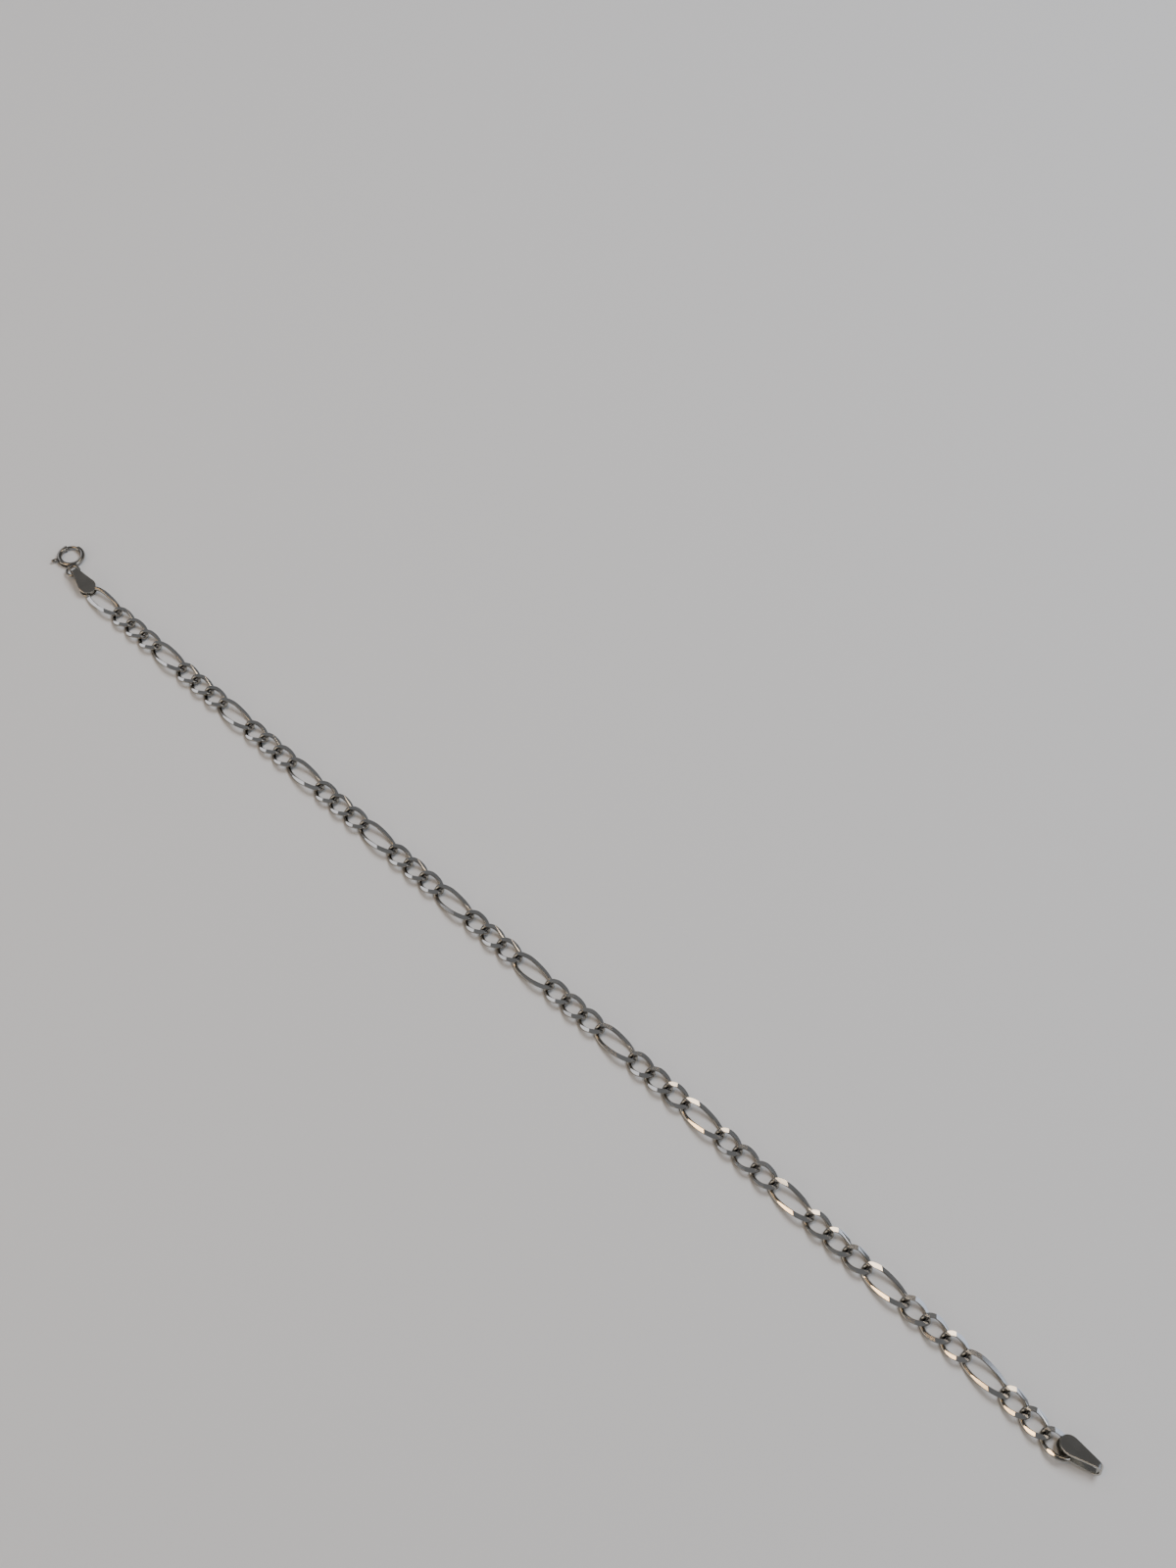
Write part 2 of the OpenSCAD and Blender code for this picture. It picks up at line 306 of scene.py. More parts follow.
def silver(name, colour, tarnish_and_shade_colour, roughness, spread, scratch_depth, stretch):
    """Silver whose roughness wanders by spread, with scratches drawn out along one way."""
    material = bpy.data.materials.new(name)
    material.use_nodes = True
    tree = material.node_tree
    tree.nodes.clear()
    place = add(tree, "ShaderNodeTexCoord")
    drawn = add(tree, "ShaderNodeMapping",
                {"Vector": place.outputs["Object"], "Scale": stretch})
    scratches = add(tree, "ShaderNodeTexNoise",
                    {"Vector": drawn.outputs["Vector"], "Scale": 1 / (SCRATCH_MM * MM),
                     "Detail": 4.0, "Roughness": 0.6})
    film = add(tree, "ShaderNodeTexNoise",
               {"Vector": place.outputs["Object"], "Scale": 1 / (FILM_PATCH_MM * MM),
                "Detail": 3.0})
    # Painted shade and tarnish: the colour goes dark where the occlusion node finds a place shut
    # in, as where links touch each other and the table.
    shut_in = add(tree, "ShaderNodeAmbientOcclusion", {"Distance": SHADE_AND_TARNISH_REACH_MM * MM},
                  samples=8)
    corner_shade_and_tarnish = add(tree, "ShaderNodeMapRange",
                  {"Value": shut_in.outputs["AO"], "From Min": SHUT_IN, "From Max": OPEN,
                   "To Min": CORNER_SHADE_AND_TARNISH, "To Max": 0.0})
    patchy = add(tree, "ShaderNodeMapRange",
                 {"Value": film.outputs["Fac"], "From Min": FILM_TONES[0],
                  "From Max": FILM_TONES[1], "To Min": 0.0, "To Max": FILM_TARNISH})
    tarnish_and_shade = add(tree, "ShaderNodeMath",
                 {0: corner_shade_and_tarnish.outputs["Result"], 1: patchy.outputs["Result"]},
                 operation="ADD", use_clamp=True)
    tint = add(tree, "ShaderNodeMix", {"Factor": tarnish_and_shade.outputs["Value"]}, data_type="RGBA")
    tint.inputs["A"].default_value = linear(colour)
    tint.inputs["B"].default_value = linear(tarnish_and_shade_colour)
    gloss = add(tree, "ShaderNodeMapRange",
                {"Value": scratches.outputs["Fac"], "From Min": SCRATCH_TONES[0],
                 "From Max": SCRATCH_TONES[1], "To Min": roughness - spread,
                 "To Max": roughness + spread})
    relief = add(tree, "ShaderNodeBump",
                 {"Height": scratches.outputs["Fac"], "Strength": scratch_depth,
                  "Distance": SCRATCH_RELIEF_MM * MM})
    shader = add(tree, "ShaderNodeBsdfPrincipled",
                 {"Base Color": tint.outputs["Result"], "Metallic": 1.0,
                  "Roughness": gloss.outputs["Result"], "Normal": relief.outputs["Normal"]})
    add(tree, "ShaderNodeOutputMaterial", {"Surface": shader.outputs["BSDF"]})
    return material


# %% The four finishes
# Wire is drawn through a die and then tumbled bright. It gives the eye thin, slightly
# soft bright lines on a dark warm grey. That grey is partly tarnish and partly painted
# shade, which stands for the dark room that the wire would mirror.
drawn_silver_wire = silver("drawn_silver_wire", "#9E9A92", "#34302B", roughness=0.17,
                           spread=0.05, scratch_depth=0.5, stretch=(0.25, 1, 1))
# A diamond tool leaves the smoothest face that silver can have. It gives the eye an even
# flash or an even grey over a whole flat, with crisp edges.
diamond_cut_silver = silver("diamond_cut_silver", "#F1EEE8", "#7A7368", roughness=0.09,
                            spread=0.02, scratch_depth=0.08, stretch=(0.1, 1, 1))
# Sheet is rolled between steel rollers and buffed. It gives the eye a calm satin shade
# that changes slowly over the leaf. Its grey colour is partly tarnish and partly painted
# shade, which stands for the dark room that the sheet would mirror.
rolled_silver_sheet = silver("rolled_silver_sheet", "#BDBAB2", "#3C3731", roughness=0.22,
                             spread=0.03, scratch_depth=0.25, stretch=(0.2, 1, 1))
# Solder has flowed and set, and nothing has polished it. It gives the eye a dull, grainy
# spot in the joint.
silver_solder = silver("silver_solder", "#A9A295", "#3C3731", roughness=0.32,
                       spread=0.08, scratch_depth=1.0, stretch=(1, 1, 1))
SILVERS = [drawn_silver_wire, diamond_cut_silver, rolled_silver_sheet, silver_solder]
WIRE, CUT, SHEET, SOLDER = range(4)
print("finishes:", [m.name for m in SILVERS])

# %% [markdown]
# ## From outlines to pieces
#
# Wire, tube and sheet are all one outline that is carried along a path. Blender's curves
# with a bevel can do that too, but a row of outlines can change its width and shape on
# the way, as a tab's strip and a domed knob do. So one helper joins a row of outlines
# into a skin, and another turns the finished skin into an object.


# %% Outlines and skins
def circle_points(centre, outward, upward, radius, sides):
    """A round outline about a centre, in the plane of two directions."""
    turns = [2 * math.pi * k / sides for k in range(sides)]
    return [centre + radius * (math.cos(a) * outward + math.sin(a) * upward) for a in turns]


def skin(bm, outlines, finish, closed=False):
    """Joins a row of outlines of equal length with faces, and caps the ends if it is open."""
    rows = [[bm.verts.new(p) for p in outline] for outline in outlines]
    count = len(rows[0])
    faces = []
    for here, after in zip(rows, rows[1:] + rows[:1] if closed else rows[1:]):
        for k in range(count):
            other = (k + 1) % count
            faces.append(bm.faces.new((here[k], after[k], after[other], here[other])))
    if not closed:
        faces.append(bm.faces.new(rows[0]))
        faces.append(bm.faces.new(rows[-1][::-1]))
    for face in faces:
        face.material_index = finish
        face.smooth = True


def solder_ball(bm, half_sizes, centre):
    """Puts a ball of solder, flattened to its half sizes, in a skin."""
    ball = bmesh.ops.create_uvsphere(bm, u_segments=24, v_segments=14, radius=1)["verts"]
    bmesh.ops.scale(bm, vec=half_sizes, verts=ball)
    bmesh.ops.translate(bm, vec=centre, verts=ball)
    for face in {face for vert in ball for face in vert.link_faces}:
        face.material_index = SOLDER
        face.smooth = True


# %% Pieces
def gather(skins):
    """Puts several skins together in one."""
    whole = bmesh.new()
    for bm in skins:
        part = bpy.data.meshes.new("part")
        bm.to_mesh(part)
        bm.free()
        whole.from_mesh(part)
        bpy.data.meshes.remove(part)
    return whole


def finished(name, bm, node):
    """Turns a skin in millimetres into an object that stands for a node of the solids."""
    bmesh.ops.recalc_face_normals(bm, faces=bm.faces)
    bmesh.ops.transform(bm, matrix=Matrix.Scale(MM, 4), verts=bm.verts)
    mesh = bpy.data.meshes.new(name)
    bm.to_mesh(mesh)
    bm.free()
    for material in SILVERS:
        mesh.materials.append(material)
    piece = bpy.data.objects.new(name, mesh)
    bpy.context.scene.collection.objects.link(piece)
    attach(piece, "bolt" if node == "clasp_bolt" else "bracelet")
    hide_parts(node)
    print(name, len(mesh.polygons), "faces")
    return piece


# %% [markdown]
# ## The round wire of a link
#
# Each link is a closed ring of wire. Its round outline stands square to the path at
# every step, and the ring of outlines is skinned without end caps.

# %% The wire of one link
LINK_STEPS = 56
WIRE_SIDES = 20
NEARBY = 0.01             # radians to each side of a point, to find which way the path runs


def link_outlines(i):
    """The round outlines of link i, one for each step round it."""
    outlines = []
    for step in range(LINK_STEPS):
        t = 2 * math.pi * step / LINK_STEPS
        way = (wire_centre(i, t + NEARBY) - wire_centre(i, t - NEARBY)).normalized()
        outward = way.cross(Vector((0, 0, 1))).normalized()
        upward = outward.cross(way)
        outlines.append(circle_points(wire_centre(i, t), outward, upward,
                                      WIRE_RADIUS, WIRE_SIDES))
    return outlines


print("a link's skin has", len(link_outlines(1)) * WIRE_SIDES, "faces before it is cut")

# %% [markdown]
# ## The diamond tool
#
# After the chain is soldered, a spinning diamond tool shaves flats on it. A flat mirrors
# one patch of the room, so it flashes. It could be cut with a boolean, but Blender's
# bisect does what the tool does: it takes off what stands above a plane, and the open
# edge is then filled with a face. Where a cut runs into an older flat, the fill covers
# both, and that one face is bent. The real tool would leave two plane ones. A bent face
# is split into triangles by the order of its corners. That order follows the order in
# which corners are taken off, so they are kept in lists: a set has no fixed order, and
# no two runs would be quite alike.


# %% Shave a flat
def shave(bm, point, normal, touched):
    """Takes off what stands above a plane, among the faces that the tool touches."""
    faces = [f for f in bm.faces if touched(f.calc_center_median())]
    edges = list(dict.fromkeys(e for f in faces for e in f.edges))
    verts = list(dict.fromkeys(v for f in faces for v in f.verts))
    bmesh.ops.bisect_plane(bm, geom=verts + edges + faces, plane_co=point, plane_no=normal,
                           clear_outer=True)
    rim = [e for e in bm.edges if e.is_boundary]
    if rim:
        for flat in bmesh.ops.holes_fill(bm, edges=rim, sides=0)["faces"]:
            flat.material_index = CUT
            flat.smooth = False


# %% [markdown]
# ## Three kinds of flat
#
# A level cut takes the top and the bottom off the whole link. A second cut leans outward
# over each raised end, and a third one leans outward along each limb, where it leaves a
# long flat with pointed ends. The tool never meets two links in quite the same way, so
# the cuts lean a little more or less from link to link, by a fixed rule and not by
# chance. That is why some flats flash while their neighbours stay grey.

# %% The cuts along the limbs
BACK, FRONT = 1, -1       # the limb on the +y side of a link, and the one on the -y side
LIMB_MIDDLES = ((BACK, 90), (FRONT, 270))     # degrees round a link, where each limb is
LIMB_SPAN = 35            # degrees to each side of it, to find which way the limb runs
CUT_LEAN = math.radians(18)
LIMB_CUT_DEPTH = {BACK: 0.2, FRONT: 0.08}
LIMB_WANDER = math.radians(2)
LINK_PHASE = 2.4          # radians that the wander moves on from one link to the next
LIMB_PHASE = 1.7          # the same, from one limb to the other


def limb_cuts(i):
    """The leaning cuts of link i: for each, a point, a normal and the limb's side."""
    cuts = []
    for number, (limb, angle) in enumerate(LIMB_MIDDLES):
        a, b = (wire_centre(i, math.radians(angle + turn)) for turn in (-LIMB_SPAN, LIMB_SPAN))
        limb_way = (b - a).normalized()
        outward = Vector((0, limb, 0))
        upward = limb_way.cross(outward)
        upward *= math.copysign(1, upward.z)
        centre = wire_centre(i, math.radians(angle))
        for side in (1, -1):
            lean = CUT_LEAN + LIMB_WANDER * math.sin(LINK_PHASE * i + LIMB_PHASE * number + side)
            normal = math.cos(lean) * side * upward + math.sin(lean) * outward
            cuts.append((centre + (WIRE_RADIUS - LIMB_CUT_DEPTH[limb]) * normal, normal, limb))
    return cuts


# %% The cuts over the raised ends
ARCH_LEAN = {BACK: math.radians(7.5), FRONT: math.radians(6)}
ARCH_WANDER = math.radians(1.5)
ARCH_PHASE = 2.1          # radians that the wander moves on from one raised end to the next
FLASH_LEAN = math.radians(3)
# The links whose back end mirrors the overhead lamp, as it does in the photograph
FLASHING = {28, 32, 33, 36, 37, 38, 40, 43, 45}
PRESSED_BELOW = 0.8       # an end that rises less than this share of the others is pressed


def arch_cuts(i):
    """The cuts over the raised ends of link i: a point, a normal, and the quarter they touch."""
    cuts = []
    path = [wire_centre(i, math.radians(t)) for t in range(1, 360, 3)]
    for number, (limb, side) in enumerate(((BACK, 1), (FRONT, 1), (BACK, -1), (FRONT, -1))):
        end = -limb * side
        peak = max((p for p in path if p.y * limb > 0 and p.x * end > 0), key=lambda p: p.z * side)
        lean = FLASH_LEAN if limb == BACK and i in FLASHING else ARCH_LEAN[limb]
        lean += ARCH_WANDER * math.sin(LINK_PHASE * i + ARCH_PHASE * number)
        if peak.z * side < wire_rise * PRESSED_BELOW:
            lean = 0              # a pressed end is only cut level
        normal = Vector((0, limb * math.sin(lean), side * math.cos(lean)))
        height = HALF_HEIGHT - peak.z * side - WIRE_RADIUS * abs(math.sin(lean))
        cuts.append((peak + height * normal, normal, limb, end, side))
    return cuts


print("a link has", 2 + len(arch_cuts(1)) + len(limb_cuts(1)), "cuts")

# %% [markdown]
# ## Links in their places
#
# A link is cut while it lies at the origin, where the planes are simple to state, and
# only then brought to its place in the chain. The last link is tilted up to the tab that
# holds it.

# %% Cut a link and put it in place
LIMB_REACH = 0.8          # the share of a link's half length that a limb's cut may touch


def place_of(i):
    """The matrix that takes link i from its own centre to its place in the chain."""
    shift = Matrix.Translation((pitch(i) / 2, 0, 0))
    if i == LINKS - 1:
        pivot = Matrix.Translation((-WIRE_RADIUS, 0, 0))
        shift = pivot @ Matrix.Rotation(-last_rise, 4, "Y") @ pivot.inverted() @ shift
    return (Matrix.Translation(junctions[i] - middle + Vector((0, 0, HALF_HEIGHT)))
            @ Matrix.Rotation(headings[i], 4, "Z") @ shift)


def cut_link(i):
    """Link i as a skin of its own, shaved and in place."""
    bm = bmesh.new()
    skin(bm, link_outlines(i), WIRE, closed=True)
    bmesh.ops.recalc_face_normals(bm, faces=bm.faces)
    for side in (1, -1):
        shave(bm, Vector((0, 0, side * HALF_HEIGHT)), Vector((0, 0, side)), lambda p: True)
    for point, normal, limb, end, side in arch_cuts(i):
        shave(bm, point, normal,
              lambda p: p.y * limb > 0 and p.x * end > 0 and p.z * side > 0)
    reach = half_length(i) * LIMB_REACH
    for point, normal, limb in limb_cuts(i):
        shave(bm, point, normal, lambda p: p.y * limb > 0 and abs(p.x) < reach)
    bmesh.ops.transform(bm, matrix=place_of(i), verts=bm.verts)
    return bm


# %% The loose links of the chain
finished("chain_links", gather(cut_link(i) for i in range(1, LINKS - 1)), "chain")

# %% [markdown]
# ## The folded strip of a tab
#
# The strip is narrow at the fold and round at its ends. It could be modelled flat and
# then bent with a modifier, but its outline can as well be carried straight along the
# bent path: from the lower leaf, round the loop, to the upper leaf. Its cross-section is
# a flat bar with rounded edges, and its width follows the strip as seen from above.


# %% The width of the strip
def half_width_at(x):
    """Half the strip's width at a distance from the loop's centre."""
    if x <= NECK_END:
        return TAB_NECK / 2
    if x <= leaf_touch[0]:
        share = (x - NECK_END) / (leaf_touch[0] - NECK_END)
        return TAB_NECK / 2 + (leaf_touch[1] - TAB_NECK / 2) * share
    return math.sqrt(max(0.0, leaf_radius ** 2 - (x - leaf_centre) ** 2))


print("the leaf is", round(2 * half_width_at(leaf_centre), 2), "mm wide")

# %% The path of the strip
STRAIGHT_STEPS = 8
ROUND_STEPS = 20
FOLD_STEPS = 28
LEAF_TURN = math.radians(86)    # how far round its end a leaf is drawn: 90 is a point
FOLD_ROOM = 0.05                # between the end of the fold and the leaf's first outline

middle_radius = (LOOP_BORE + TAB_SHEET) / 2
leaf_rise = LEAF_GAP + TAB_SHEET - middle_radius
leaf_slope = (math.asin(middle_radius / math.hypot(tab_reach, leaf_rise))
              - math.atan(leaf_rise / tab_reach))


def leaf_stations():
    """Distances from the loop's centre, closer together where the leaf is round."""
    straight = [leaf_touch[0] * k / STRAIGHT_STEPS for k in range(1, STRAIGHT_STEPS)]
    start = math.asin((leaf_touch[0] - leaf_centre) / leaf_radius)
    turns = [start + (LEAF_TURN - start) * k / ROUND_STEPS for k in range(ROUND_STEPS + 1)]
    return straight + [leaf_centre + leaf_radius * math.sin(a) for a in turns]


def strip_path():
    """Centres of the strip, and the direction across its thickness, from leaf to leaf."""
    path = [(Vector((x, 0, -middle_radius)), Vector((0, 0, -1)), x)
            for x in reversed(leaf_stations())]
    bottom, top = math.radians(270), math.radians(90) - leaf_slope
    for k in range(FOLD_STEPS + 1):
        a = bottom + (top - bottom) * k / FOLD_STEPS
        out = Vector((math.cos(a), 0, math.sin(a)))
        path.append((middle_radius * out, out, middle_radius * out.x))
    out = Vector((math.sin(leaf_slope), 0, math.cos(leaf_slope)))
    foot = middle_radius * out
    for x in leaf_stations():
        if x > foot.x + FOLD_ROOM:
            z = foot.z - (x - foot.x) * math.tan(leaf_slope)
            path.append((Vector((x, 0, z)), out, x))
    return path


print("the upper leaf slopes", round(math.degrees(leaf_slope), 1), "degrees")

# %% The cross-section of the strip
SHEET_EDGE = 0.06         # radius of its rounded edges
LEAST_WIDTH = 0.01


def strip_outline(centre, out, width):
    """The strip's cross-section: a flat bar with rounded edges."""
    across = Vector((0, 1, 0))
    points = []
    half = max(width - SHEET_EDGE, LEAST_WIDTH)
    thick = TAB_SHEET / 2 - SHEET_EDGE
    for side_y, side_z, start in ((1, 1, 0), (-1, 1, 90), (-1, -1, 180), (1, -1, 270)):
        for k in range(4):
            a = math.radians(start + 30 * k)
            points.append(centre + (side_y * half + SHEET_EDGE * math.cos(a)) * across
                          + (side_z * thick + SHEET_EDGE * math.sin(a)) * out)
    return points


# %% [markdown]
# ## Tabs on their links
#
# The solder is what joins tab and link. It flows between the leaves and sets as a smooth
# round lump about the wire, so a flattened ball stands for it. A tab is first made flat
# on the table with its loop at the origin, and then turned and rolled into its place.

# %% One tab with its solder
LUMP_LENGTH = 0.62        # half sizes of the solder between the leaves
LUMP_WIDTH = 0.7
LUMP_SINK = 0.08          # how far the solder runs into each leaf
FLAT_FROM = 0.1           # the leaves start this far from the loop's centre
RIM_PLACES = 2            # an upright face of the rim has its corners at two places across


def tab_skin(grip):
    """A tab flat on the table below its loop, with the solder between its leaves."""
    bm = bmesh.new()
    skin(bm, [strip_outline(c, out, half_width_at(x)) for c, out, x in strip_path()], SHEET)
    for face in bm.faces:
        places_across = {round(v.co.y, 4) for v in face.verts}
        if face.calc_center_median().x > FLAT_FROM and len(places_across) > RIM_PLACES:
            face.smooth = False   # the leaves are flat, and the fold and the rim are round
    gap_middle = -loop_outer / 2 + TAB_SHEET + LEAF_GAP / 2
    solder_ball(bm, (LUMP_LENGTH, LUMP_WIDTH, LEAF_GAP / 2 + LUMP_SINK),
                (tab_reach - grip + WIRE_RADIUS, 0, gap_middle))
    bmesh.ops.translate(bm, vec=(0, 0, loop_outer / 2), verts=bm.verts)
    return bm


def on_edge(roll):
    """Rolls what lies on the table onto the right edge of the tab."""
    corner = Matrix.Translation((NECK_END, -TAB_NECK / 2, 0))
    lean = Matrix.Rotation(edge_lean, 4, "Z")
    return (corner @ lean.inverted() @ Matrix.Rotation(roll, 4, "X") @ lean
            @ corner.inverted())


# %% The two tabs, each with the link that is soldered in it
clasp_tab = tab_skin(CLASP_GRIP)
bmesh.ops.transform(clasp_tab, matrix=Matrix.Translation(clasp_loop - middle)
                    @ Matrix.Rotation(CLASP_HEADING, 4, "Z"), verts=clasp_tab.verts)
end_tab = tab_skin(END_GRIP)
bmesh.ops.transform(end_tab, matrix=Matrix.Translation(end_loop - middle)
                    @ Matrix.Rotation(END_HEADING + math.pi, 4, "Z") @ on_edge(END_ROLL),
                    verts=end_tab.verts)
for name, tab, link in (("clasp_tab", clasp_tab, 0), ("end_tab", end_tab, LINKS - 1)):
    finished(name + "_sheet", gather([tab, cut_link(link)]), name)

# %% [markdown]
# ## The tube of the spring ring
#
# A spring ring is a short tube bent nearly into a circle, with a gate between its ends.
# The bolt slides in the tube and bridges the gate. The tube could be a rod with a bore
# cut by a boolean. Here its outline is carried over the outside and then turned back
# inside itself at each open end, which gives clean rims and a bore of any depth.

# %% Helpers for arcs of tube and rod
TUBE_SIDES = 32
ARC_STEP = 4              # degrees between two outlines, at most


def ring_outline(degrees, radius):
    """A round outline on the spring ring's circle, at an angle round it."""
    outward = along(math.radians(degrees))
    return circle_points(ring_radius * outward, outward, Vector((0, 0, 1)), radius, TUBE_SIDES)


def spaced(start, stop):
    """Angles from start to stop, both included, no farther apart than ARC_STEP."""
    count = max(2, math.ceil(abs(stop - start) / ARC_STEP))
    return [start + (stop - start) * k / count for k in range(count + 1)]


def rod(start, stop, radius, rounding):
    """Outlines of an arc of rod whose ends are rounded over."""
    edge = math.degrees(rounding / ring_radius)
    ends = [(math.sin(a), 1 - math.cos(a)) for a in
            (math.radians(d) for d in (0, 30, 60, 90))]
    first = [(start + edge * back, radius - rounding * (1 - s)) for s, back in ends]
    last = [(stop - edge * back, radius - rounding * (1 - s)) for s, back in reversed(ends)]
    body = [(d, radius) for d in spaced(start + edge, stop - edge)[1:-1]]
    return [ring_outline(d, r) for d, r in first + body + last]


def sleeve(start, stop, inside, outside, rounding):
    """Outlines of a short pipe: over the outside of a rod, and back along its bore."""
    return (rod(start, stop, outside, rounding)
            + [ring_outline(d, inside) for d in spaced(stop, start)])


# %% The tube
TUBE_WALL = 0.12
GATE_OPENING = 54         # degrees round the ring, as all angles of the clasp are
GATE_END = 160
SOCKET_DEPTH = 4          # how far the closed bolt reaches into the tube beyond the gate
SOCKET_ROOM = 3           # how much deeper the bore is there
BORE_END = 350            # the bottom of the long bore, which holds the spring
RIM = 0.03                # the rounding of the tube's ends

bore_radius = TUBE_OUTER / 2 - TUBE_WALL
gate_start = GATE_END - GATE_OPENING


def tube_outlines():
    """The tube from deep in its bore, over its outside, to the bottom of its socket."""
    lip = math.degrees(RIM / ring_radius)
    end = gate_start + 360
    inside = [(d, bore_radius) for d in spaced(BORE_END, GATE_END + lip)]
    outside = [(d, TUBE_OUTER / 2) for d in spaced(GATE_END + lip, end - lip)]
    rim_in = [(GATE_END, bore_radius + RIM), (GATE_END, TUBE_OUTER / 2 - RIM)]
    rim_out = [(end, TUBE_OUTER / 2 - RIM), (end, bore_radius + RIM)]
    socket = [(d, bore_radius) for d in spaced(end - lip, end - SOCKET_DEPTH - SOCKET_ROOM)]
    return [ring_outline(d, r) for d, r in inside + rim_in + outside + rim_out + socket]


ring = bmesh.new()
skin(ring, tube_outlines(), WIRE)
ring_place = Matrix.Translation(ring_centre - middle + Vector((0, 0, ring_z)))
bmesh.ops.transform(ring, matrix=ring_place, verts=ring.verts)
ring_piece = finished("spring_ring_tube", ring, "clasp_ring")

# %% [markdown]
# ## The slot for the knob
#
# A slot in the outer side of the tube lets the thumb knob slide. A saw cuts it in the
# real tube, and a boolean does the same here, because the slot's edges cross the tube's
# outlines at places where no outline stands.

# %% Saw the slot
BOLT_PLAY = 0.07          # clearance all round the bolt and its pin
KNOB_BEARING = 245        # where the knob stands when the gate is closed
PIN_DIAMETER = 0.36
NOSE_SHOWING = 1          # the part of the bolt's end that the open gate still shows
SLOT_ROOM = 1
SAW_REACH = 0.4           # how far the saw stands out of the tube
TUBE_CREASE = math.radians(35)

slot_half = PIN_DIAMETER / 2 + BOLT_PLAY
slot_margin = math.degrees(math.asin(slot_half / ring_radius)) + SLOT_ROOM
travel = GATE_OPENING + SOCKET_DEPTH - NOSE_SHOWING
up = Vector((0, 0, slot_half))
saw = bmesh.new()
saw_outlines = []
for d in spaced(KNOB_BEARING - slot_margin, KNOB_BEARING + travel + slot_margin):
    outward = along(math.radians(d))
    near = ring_radius * outward
    far = (RING_OUTER / 2 + SAW_REACH) * outward
    saw_outlines.append([near - up, far - up, far + up, near + up])
skin(saw, saw_outlines, WIRE)
bmesh.ops.recalc_face_normals(saw, faces=saw.faces)
bmesh.ops.transform(saw, matrix=Matrix.Scale(MM, 4) @ ring_place, verts=saw.verts)
saw_mesh = bpy.data.meshes.new("slot_saw")
saw.to_mesh(saw_mesh)
saw.free()
saw_object = bpy.data.objects.new("slot_saw", saw_mesh)
bpy.context.scene.collection.objects.link(saw_object)

# %% Keep the sawn tube as a plain mesh
slot_cut = ring_piece.modifiers.new("slot for the knob", "BOOLEAN")
slot_cut.object = saw_object
slot_cut.operation = "DIFFERENCE"
slot_cut.solver = "EXACT"
bpy.context.view_layer.update()
sawn = bpy.data.meshes.new_from_object(
    ring_piece.evaluated_get(bpy.context.evaluated_depsgraph_get()))
ring_piece.modifiers.clear()
ring_piece.data = sawn
bpy.data.objects.remove(saw_object)
sawn.set_sharp_from_angle(angle=TUBE_CREASE)
print("tube with its slot:", len(sawn.polygons), "faces")

# %% [markdown]
# ## The collar and the eye
#
# A collar stiffens the end that the bolt comes out of. A solid rod would look the same
# from outside, but a sleeve leaves the bore free for the bolt. The eye is a closed ring
# of wire, soldered to the tube. It lies a little higher than the tube's middle line does,
# because the folded tab's lower leaf passes under it.

# %% The collar, the eye and its solder
COLLAR_ANGLE = 14
COLLAR_ROUNDING = 0.04
EYE_STEPS = 64
BEAD_RADIUS = 0.25

fittings = bmesh.new()
skin(fittings, sleeve(GATE_END, GATE_END + COLLAR_ANGLE, TUBE_OUTER / 2 - RIM,
                      TUBE_OUTER / 2 + COLLAR_WALL, COLLAR_ROUNDING), WIRE, closed=True)
eye_rise = Vector((0, 0, eye_z - ring_z))
eye_place = eye_centre - ring_centre + eye_rise
eye_turns = [2 * math.pi * k / EYE_STEPS for k in range(EYE_STEPS)]
skin(fittings, [circle_points(eye_place + eye_radius * along(a), along(a), Vector((0, 0, 1)),
                              EYE_WIRE / 2, WIRE_SIDES) for a in eye_turns], WIRE, closed=True)
solder_ball(fittings, (BEAD_RADIUS, BEAD_RADIUS, BEAD_RADIUS),
            RING_OUTER / 2 * along(EYE_BEARING) + eye_rise / 2)
bmesh.ops.transform(fittings, matrix=ring_place, verts=fittings.verts)
finished("spring_ring_fittings", fittings, "clasp_ring")

# %% [markdown]
# ## The bolt
#
# The bolt is a bent rod that a hidden spring pushes over the gate. Its knob stands on a
# pin in the slot. The knob is turned to a profile, with a domed end so that it doesn't
# dig into a thumb, and carrying circles of that profile outward is the same as turning.

# %% The bolt and its knob
BOLT_TAIL = 12
BOLT_ROUNDING = 0.06
KNOB_DIAMETER = 0.56
KNOB_REACH = 1.0
KNOB_EDGE = 0.03
KNOB_SIDES = 24
KNOB_TIP = 0.01           # radius of the last circle of the dome
BOLT_CREASE = math.radians(50)

bolt = bmesh.new()
skin(bolt, rod(gate_start - SOCKET_DEPTH, KNOB_BEARING + BOLT_TAIL,
               bore_radius - BOLT_PLAY, BOLT_ROUNDING), WIRE)
knob_way = along(math.radians(KNOB_BEARING))
knob_side = knob_way.cross(Vector((0, 0, 1)))
knob_radius = KNOB_DIAMETER / 2
knob_start = RING_OUTER / 2 + BOLT_PLAY
dome_start = RING_OUTER / 2 + KNOB_REACH - knob_radius
profile = [(ring_radius, PIN_DIAMETER / 2), (knob_start, PIN_DIAMETER / 2),
           (knob_start, knob_radius - KNOB_EDGE), (knob_start + KNOB_EDGE, knob_radius)]
for degrees in range(0, 91, 15):
    a = math.radians(degrees)
    profile.append((dome_start + knob_radius * math.sin(a),
                    max(KNOB_TIP, knob_radius * math.cos(a))))
skin(bolt, [circle_points(r * knob_way, knob_side, Vector((0, 0, 1)), size, KNOB_SIDES)
            for r, size in profile], WIRE)
bmesh.ops.transform(bolt, matrix=ring_place, verts=bolt.verts)
bolt_piece = finished("spring_ring_bolt", bolt, "clasp_bolt")
bolt_piece.data.set_sharp_from_angle(angle=BOLT_CREASE)

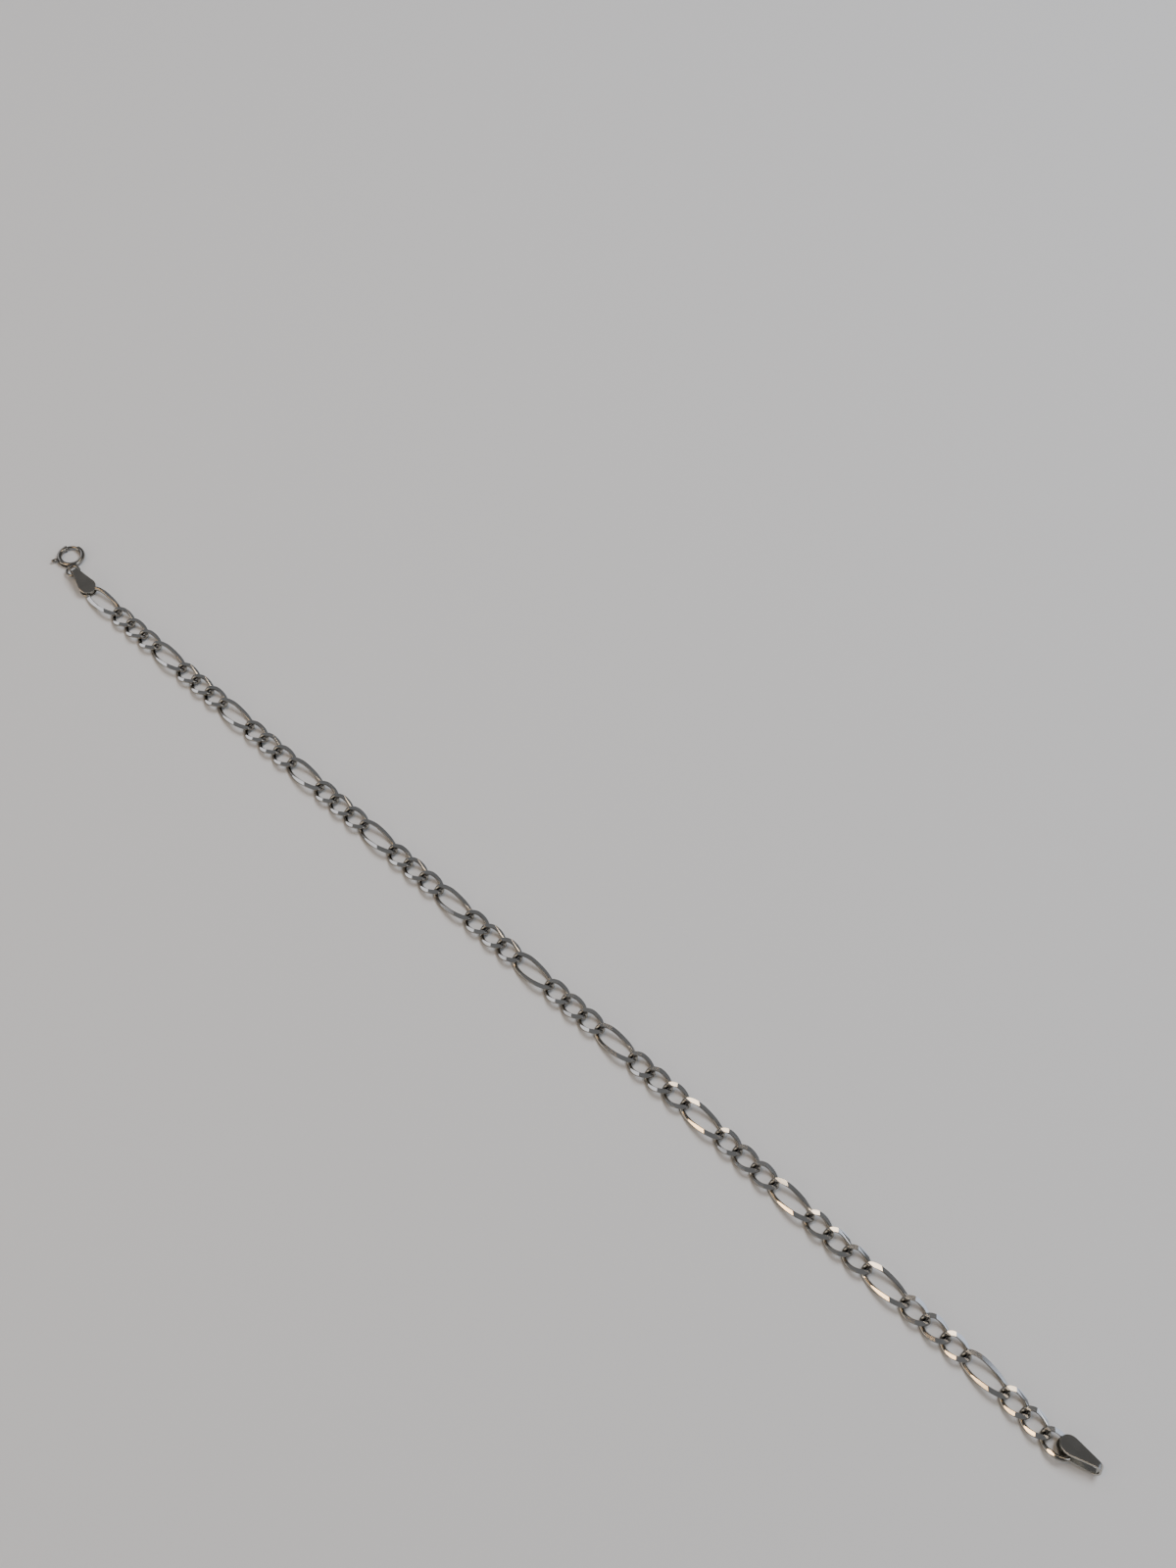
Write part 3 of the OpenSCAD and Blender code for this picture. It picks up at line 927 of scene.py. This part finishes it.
# %% [markdown]
# ## The table
#
# The bracelet lies on a pale matt table, as in a shop photograph. A photographer uses
# uncoated card for it, because that has no shine to compete with the silver. It gives the
# eye an even ground with soft shadows.

# %% The table
TABLE_EDGE = 1.5          # metres from the bracelet to each edge

table = bpy.data.meshes.new("table")
table.from_pydata([(-TABLE_EDGE, -TABLE_EDGE, 0), (TABLE_EDGE, -TABLE_EDGE, 0),
                   (TABLE_EDGE, TABLE_EDGE, 0), (-TABLE_EDGE, TABLE_EDGE, 0)],
                  [], [(0, 1, 2, 3)])
card = bpy.data.materials.new("matt_card")
card.use_nodes = True
card_tree = card.node_tree
card_tree.nodes.clear()
card_shader = add(card_tree, "ShaderNodeBsdfPrincipled",
                  {"Base Color": linear("#DEDFDE"), "Roughness": 0.85})
add(card_tree, "ShaderNodeOutputMaterial", {"Surface": card_shader.outputs["BSDF"]})
table.materials.append(card)
table_top = bpy.data.objects.new("table", table)
bpy.context.scene.collection.objects.link(table_top)
print("table", 2 * TABLE_EDGE, "m wide")

# %% [markdown]
# ## The light
#
# Polished silver shows the room more than itself, so the room stays dim and soft lights
# stand where the flats can mirror them: a cool window low behind, a warm lamp and a glow
# from the front, a lamp overhead, and two panels at the sides. A large panel lights the
# table. A shop puts a polarising filter on such a light, so that metal doesn't mirror
# it, and here it is kept out of the mirror images in the same way.

# %% The room
world = bpy.data.worlds.new("dim_room")
bpy.context.scene.world = world
world.use_nodes = True
world.node_tree.nodes["Background"].inputs["Color"].default_value = linear("#8A8C90")
world.node_tree.nodes["Background"].inputs["Strength"].default_value = 0.55


# %% The lamps
def soft_light(name, azimuth, elevation, distance, size, watts, colour):
    """A lamp that looks at the bracelet from an azimuth and an elevation in degrees."""
    lamp = bpy.data.lights.new(name, "AREA")
    lamp.shape = "RECTANGLE"
    lamp.size, lamp.size_y = size
    lamp.energy = watts
    lamp.color = linear(colour)[:3]
    holder = bpy.data.objects.new(name, lamp)
    a, e = math.radians(azimuth), math.radians(elevation)
    away = Vector((math.cos(a) * math.cos(e), math.sin(a) * math.cos(e), math.sin(e)))
    holder.location = distance * away
    holder.rotation_mode = "QUATERNION"
    holder.rotation_quaternion = away.to_track_quat("Z", "Y")
    bpy.context.scene.collection.objects.link(holder)
    return holder


# Azimuth and elevation in degrees, distance and size in metres, watts, colour
soft_light("far_glow", 178, 27, 0.8, (0.5, 0.5), 0.7, "#F2F4FF")
soft_light("right_panel", 12, 35, 0.9, (0.3, 0.8), 1.6, "#F2F6FF")
table_panel = soft_light("table_panel", 87, 55, 1.0, (0.45, 0.45), 5.8, "#F0F5FF")
table_panel.visible_glossy = False
soft_light("cool_window", 36, 19, 0.9, (0.52, 0.26), 0.38, "#D8E6FF")
soft_light("warm_side_lamp", 219, 62, 0.8, (0.24, 0.2), 0.9, "#FFD39E")
soft_light("overhead", 78, 64, 0.8, (0.42, 0.12), 0.6, "#FFE8CC")
soft_light("front_glow", 250, 17, 0.7, (0.7, 0.44), 1.5, "#FFF3E4")

# %% [markdown]
# ## The camera
#
# The camera looks down at the bracelet from in front of its middle and a little to the
# end tab's side, so the chain runs from the upper left, where the clasp is small and far,
# to the lower right, where the end tab is near. Its place and turn are matched to the
# run of the chain in the photograph.

# %% The camera
camera_data = bpy.data.cameras.new("camera")
camera_data.sensor_fit = "HORIZONTAL"
camera_data.sensor_width = 36
camera_data.lens = 45
camera_data.clip_start = 0.01
camera = bpy.data.objects.new("camera", camera_data)
camera.location = (0.06363, -0.06969, 0.20583)
camera.rotation_euler = [math.radians(d) for d in (30.881, -3.489, 42.075)]
bpy.context.scene.collection.objects.link(camera)
bpy.context.scene.camera = camera
print("the camera is", round(camera.location.length, 3), "m from the bracelet's middle")

# %% The end: the scene is brought up to date
bpy.context.view_layer.update()
